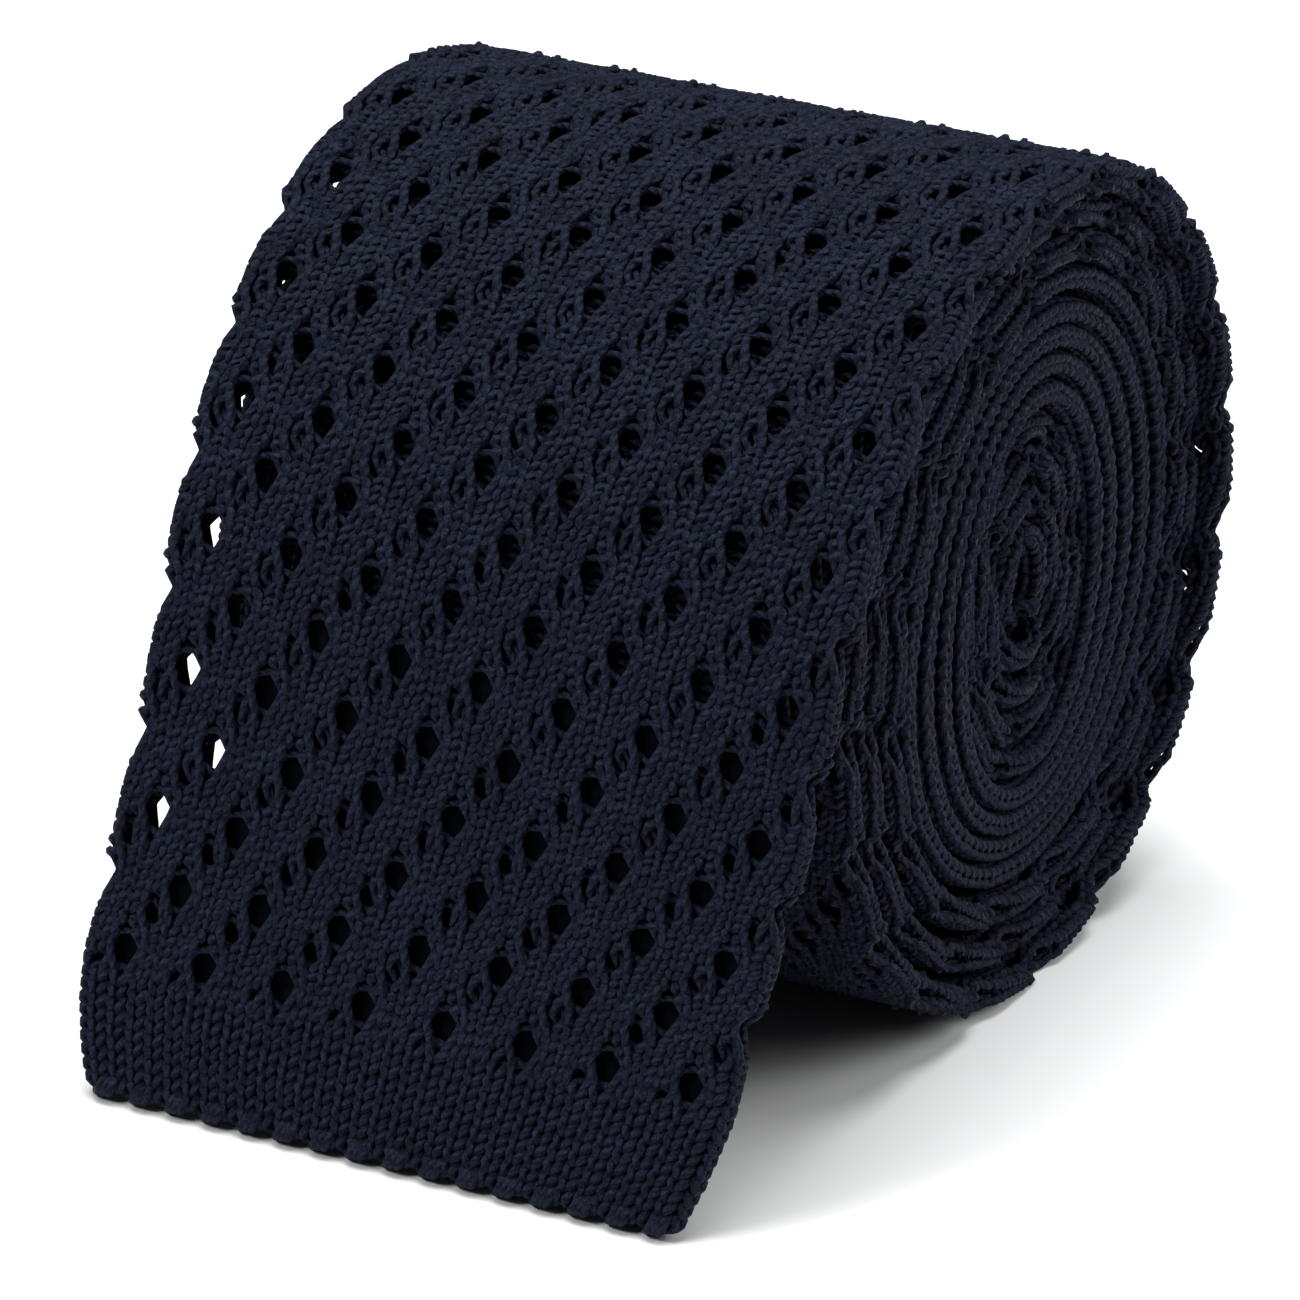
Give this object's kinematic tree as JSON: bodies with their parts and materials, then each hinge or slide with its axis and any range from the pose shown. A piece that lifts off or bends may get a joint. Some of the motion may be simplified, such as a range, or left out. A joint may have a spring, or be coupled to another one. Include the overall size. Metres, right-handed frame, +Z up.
{
  "type": "knitted necktie",
  "caption": "Square-ended knitted tie rolled up on its side, its openwork wide end hanging from the roll to the table and ending in a plain hem band.",
  "frame": {"origin": "on the table, under the roll's axis, at the middle of the tie's width", "axes": "+X along the roll's axis, -Y towards the side where the wide end hangs, +Z up"},
  "size_m": [0.06, 0.0869, 0.0686],
  "materials": {
    "openwork_yarn": "matt spun yarn, openwork knit",
    "plain_yarn": "matt spun yarn, plain knit",
    "seam_yarn": "matt spun yarn, linked seam",
    "woven_ribbon": "woven ribbon, low sheen",
    "sewing_thread": "sewing thread",
    "satin_tape": "blank satin tape"
  },
  "bodies": {
    "roll": {"blade_turns": "openwork_yarn", "neck_band": "plain_yarn", "tail_turns": "openwork_yarn", "tail_hem_band": "plain_yarn", "tail_closing_seam": "seam_yarn", "roll_back_seam": "seam_yarn", "keeper_loop": "woven_ribbon", "keeper_tacks": "sewing_thread", "care_label": "satin_tape"},
    "end_upper": {"wide_end_upper": "openwork_yarn", "upper_back_seam": "seam_yarn"},
    "end_lower": {"wide_end_lower": "openwork_yarn", "lower_back_seam": "seam_yarn", "wide_hem_band": "plain_yarn", "wide_closing_seam": "seam_yarn"}
  },
  "joints": [
    {"name": "end_lift", "type": "hinge", "parent": "roll", "child": "end_upper", "pos_m": [0, -0.01238, 0.06489], "axis": [-1, 0, 0], "range_deg": [0, 60]},
    {"name": "end_curl", "type": "hinge", "parent": "end_upper", "child": "end_lower", "pos_m": [0, -0.04043, 0.03482], "axis": [-1, 0, 0], "range_deg": [0, 55]}
  ]
}
